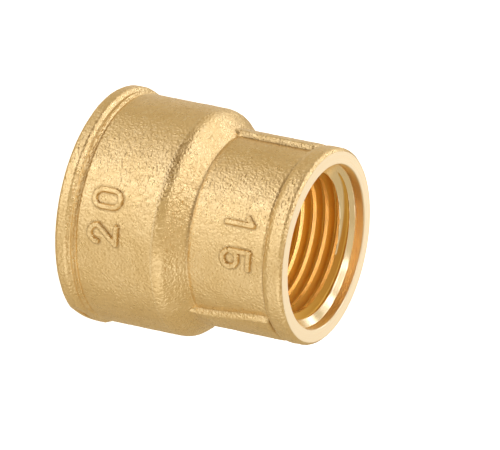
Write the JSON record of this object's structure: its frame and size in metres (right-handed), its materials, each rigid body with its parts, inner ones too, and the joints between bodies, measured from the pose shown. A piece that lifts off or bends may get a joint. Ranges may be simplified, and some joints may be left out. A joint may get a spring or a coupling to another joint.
{
  "type": "reducing coupling",
  "caption": "Brass pipe fitting that joins two male threaded pipes of different size in line, with a rounded shoulder and grip ribs.",
  "frame": {"origin": "centre of the large end face, which the fitting stands on", "axes": "+Z along the bore axis toward the small end; the two grip ribs lie on +X and -X; the figures face about -Y"},
  "size_m": [0.032, 0.032, 0.032],
  "materials": {
    "blasted_brass": "shot-blasted forged skin, satin",
    "turned_brass": "turned, bright",
    "tapped_brass": "tapped, glossy"
  },
  "bodies": {
    "root": {"large_barrel": "blasted_brass", "shoulder": "blasted_brass", "small_barrel": "blasted_brass", "large_end_bead": "blasted_brass", "small_end_collar": "blasted_brass", "large_end_face": "turned_brass", "small_end_face": "turned_brass", "large_thread": "tapped_brass", "small_thread": "tapped_brass", "inner_step": "turned_brass", "grip_ribs": "blasted_brass", "large_size_mark": "blasted_brass", "small_size_mark": "blasted_brass"}
  },
  "joints": []
}
